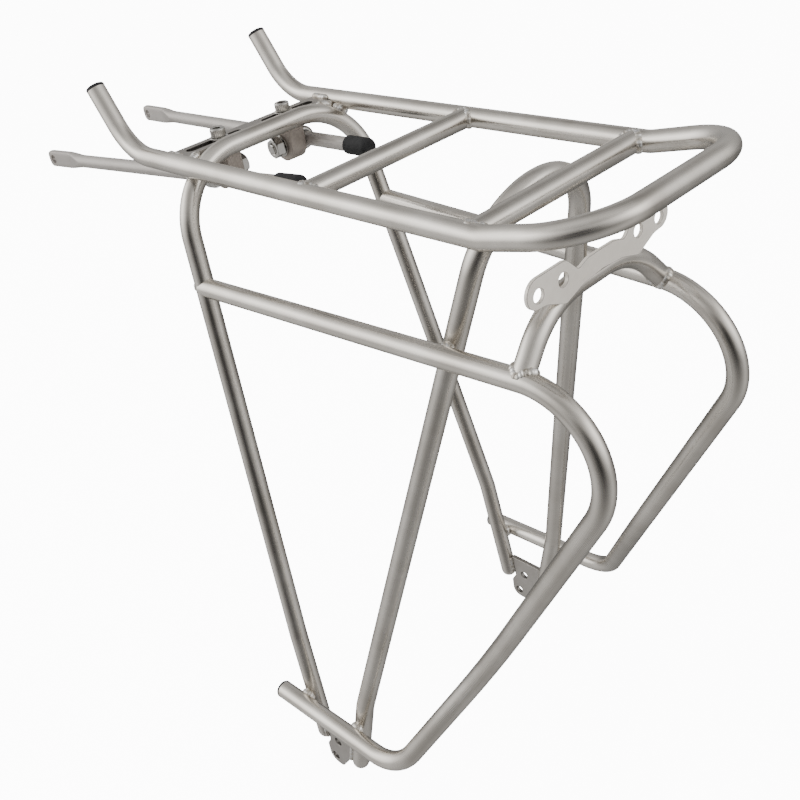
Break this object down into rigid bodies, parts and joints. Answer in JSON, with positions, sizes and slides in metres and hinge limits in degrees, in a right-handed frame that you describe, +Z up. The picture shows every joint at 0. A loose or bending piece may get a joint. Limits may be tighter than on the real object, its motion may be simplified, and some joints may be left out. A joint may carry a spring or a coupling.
{
  "type": "bicycle rear rack",
  "caption": "Welded tubular rear luggage rack for a bicycle, with low pannier rails, a rear light plate and adjustable front stays.",
  "frame": {"origin": "midpoint between the lower eyelets of the two dropout plates", "axes": "+X to the bicycle's right, +Y forward along the bicycle, +Z up"},
  "size_m": [0.1966, 0.4433, 0.3914],
  "materials": {
    "tube_steel": "satin stainless tube, drawn",
    "plate_steel": "satin stainless sheet, cut edges",
    "stay_alloy": "satin light grey",
    "block_alloy": "matt taupe",
    "bolt_steel": "bright stainless fastener",
    "cap_rubber": "matt black rubber",
    "plug_plastic": "black"
  },
  "bodies": {
    "frame": {"top_rail": "tube_steel", "mid_crossbar": "tube_steel", "rear_crossbar": "tube_steel", "front_hoop": "tube_steel", "rear_hoop": "tube_steel", "left_pannier_rail": "tube_steel", "right_pannier_rail": "tube_steel", "light_bridge": "tube_steel", "light_plate": "plate_steel", "slotted_plate": "plate_steel", "left_dropout_plate": "plate_steel", "right_dropout_plate": "plate_steel", "left_horn_plug": "plug_plastic", "right_horn_plug": "plug_plastic", "left_foot_plug": "plug_plastic", "right_foot_plug": "plug_plastic"},
    "left_screw_set": {"left_clamp_screw": "bolt_steel", "left_clamp_screw_washer": "bolt_steel"},
    "left_block": {"left_clamp_block": "block_alloy"},
    "left_eye_set": {"left_eye_bolt": "bolt_steel", "left_eye_nut": "bolt_steel", "left_eye_washer": "bolt_steel"},
    "left_stay_set": {"left_stay": "stay_alloy", "left_stay_cap": "cap_rubber"},
    "right_screw_set": {"right_clamp_screw": "bolt_steel", "right_clamp_screw_washer": "bolt_steel"},
    "right_block": {"right_clamp_block": "block_alloy"},
    "right_eye_set": {"right_eye_bolt": "bolt_steel", "right_eye_nut": "bolt_steel", "right_eye_washer": "bolt_steel"},
    "right_stay_set": {"right_stay": "stay_alloy", "right_stay_cap": "cap_rubber"}
  },
  "joints": [
    {"name": "left_clamp_slide", "type": "slide", "parent": "frame", "child": "left_screw_set", "axis": [-1, 0, 0], "range_m": [-0.0075, 0.004]},
    {"name": "left_clamp_swivel", "type": "hinge", "parent": "left_screw_set", "child": "left_block", "pos_m": [-0.0215, 0.0672, 0.35], "axis": [0, 0, 1], "range_deg": [-10, 10]},
    {"name": "left_stay_tilt", "type": "hinge", "parent": "left_block", "child": "left_eye_set", "pos_m": [-0.0215, 0.0672, 0.3345], "axis": [0.9985, 0.0541, 0], "range_deg": [-18, 4]},
    {"name": "left_stay_slide", "type": "slide", "parent": "left_eye_set", "child": "left_stay_set", "axis": [-0.054, 0.9968, -0.0593], "range_m": [-0.025, 0.026]},
    {"name": "right_clamp_slide", "type": "slide", "parent": "frame", "child": "right_screw_set", "axis": [1, 0, 0], "range_m": [-0.0075, 0.004]},
    {"name": "right_clamp_swivel", "type": "hinge", "parent": "right_screw_set", "child": "right_block", "pos_m": [0.0215, 0.0672, 0.35], "axis": [0, 0, -1], "range_deg": [-10, 10]},
    {"name": "right_stay_tilt", "type": "hinge", "parent": "right_block", "child": "right_eye_set", "pos_m": [0.0215, 0.0672, 0.3345], "axis": [0.999, -0.0454, 0], "range_deg": [-18, 4]},
    {"name": "right_stay_slide", "type": "slide", "parent": "right_eye_set", "child": "right_stay_set", "axis": [0.0453, 0.9982, -0.0384], "range_m": [-0.035, 0.015]}
  ]
}
